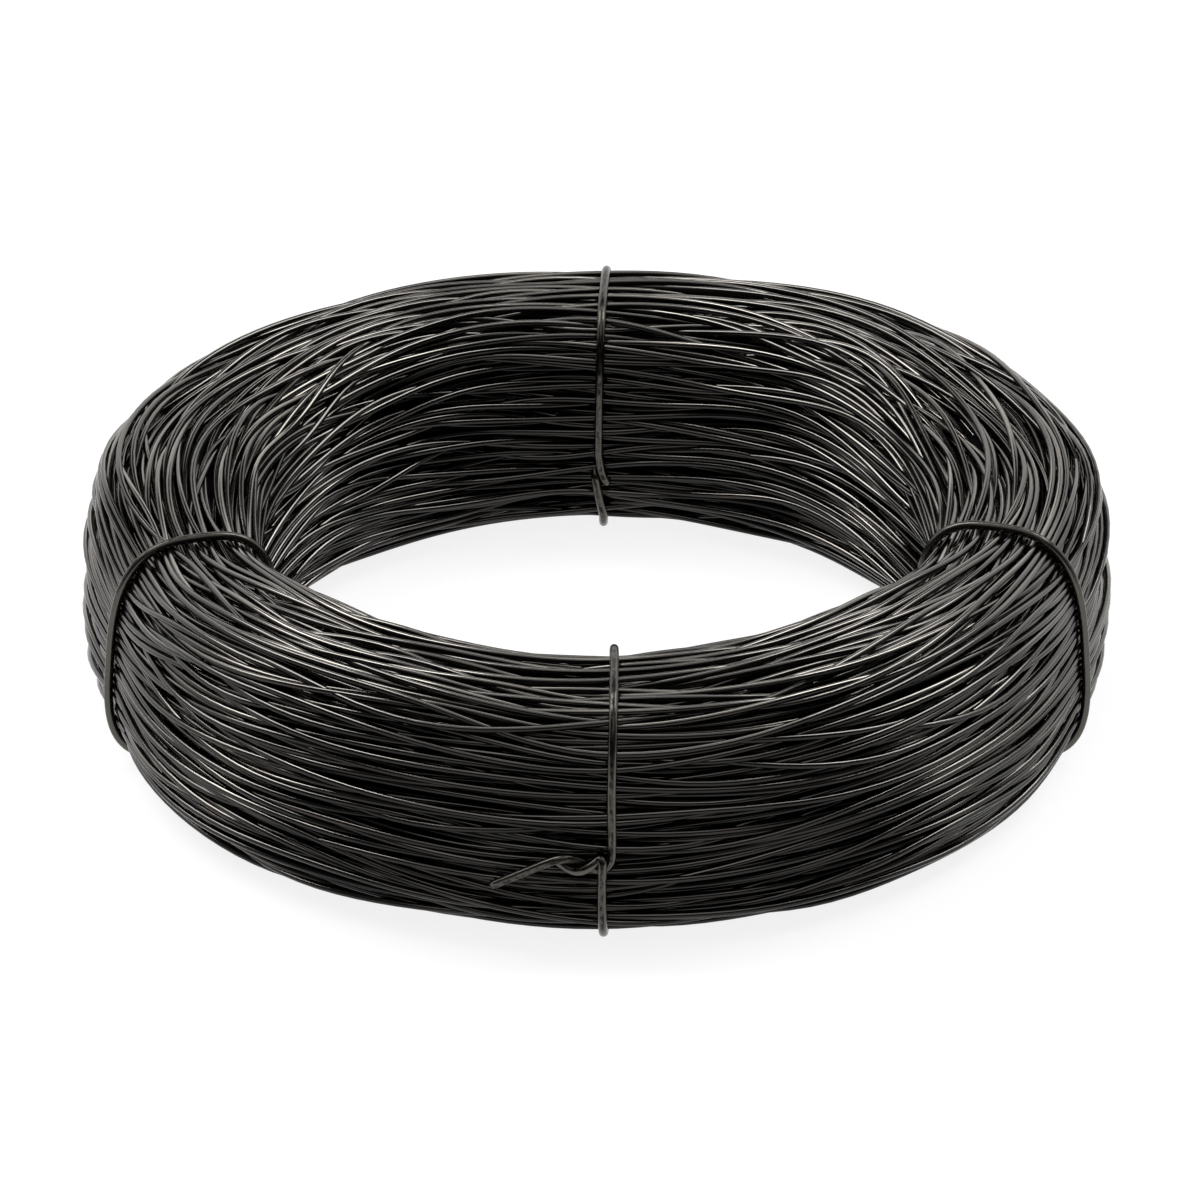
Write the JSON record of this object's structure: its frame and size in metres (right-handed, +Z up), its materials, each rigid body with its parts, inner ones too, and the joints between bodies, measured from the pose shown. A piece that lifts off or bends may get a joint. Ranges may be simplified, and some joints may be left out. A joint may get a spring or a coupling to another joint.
{
  "type": "coil of binding wire",
  "caption": "Round coil of black annealed steel binding wire lying flat, bound round its section by twisted wire ties, with an open bore.",
  "frame": {"origin": "on the coil's axis, at the level of the floor that its ties stand on", "axes": "+Z up along the coil's axis; -Y towards the side with the long-tailed tie"},
  "size_m": [0.25, 0.2574, 0.065],
  "materials": {
    "annealed_wire": "satin",
    "tie_wire": "satin"
  },
  "bodies": {
    "root": {"wire_coil": "annealed_wire", "tie_front": "tie_wire", "tie_right": "tie_wire", "tie_back": "tie_wire", "tie_left": "tie_wire"}
  },
  "joints": []
}
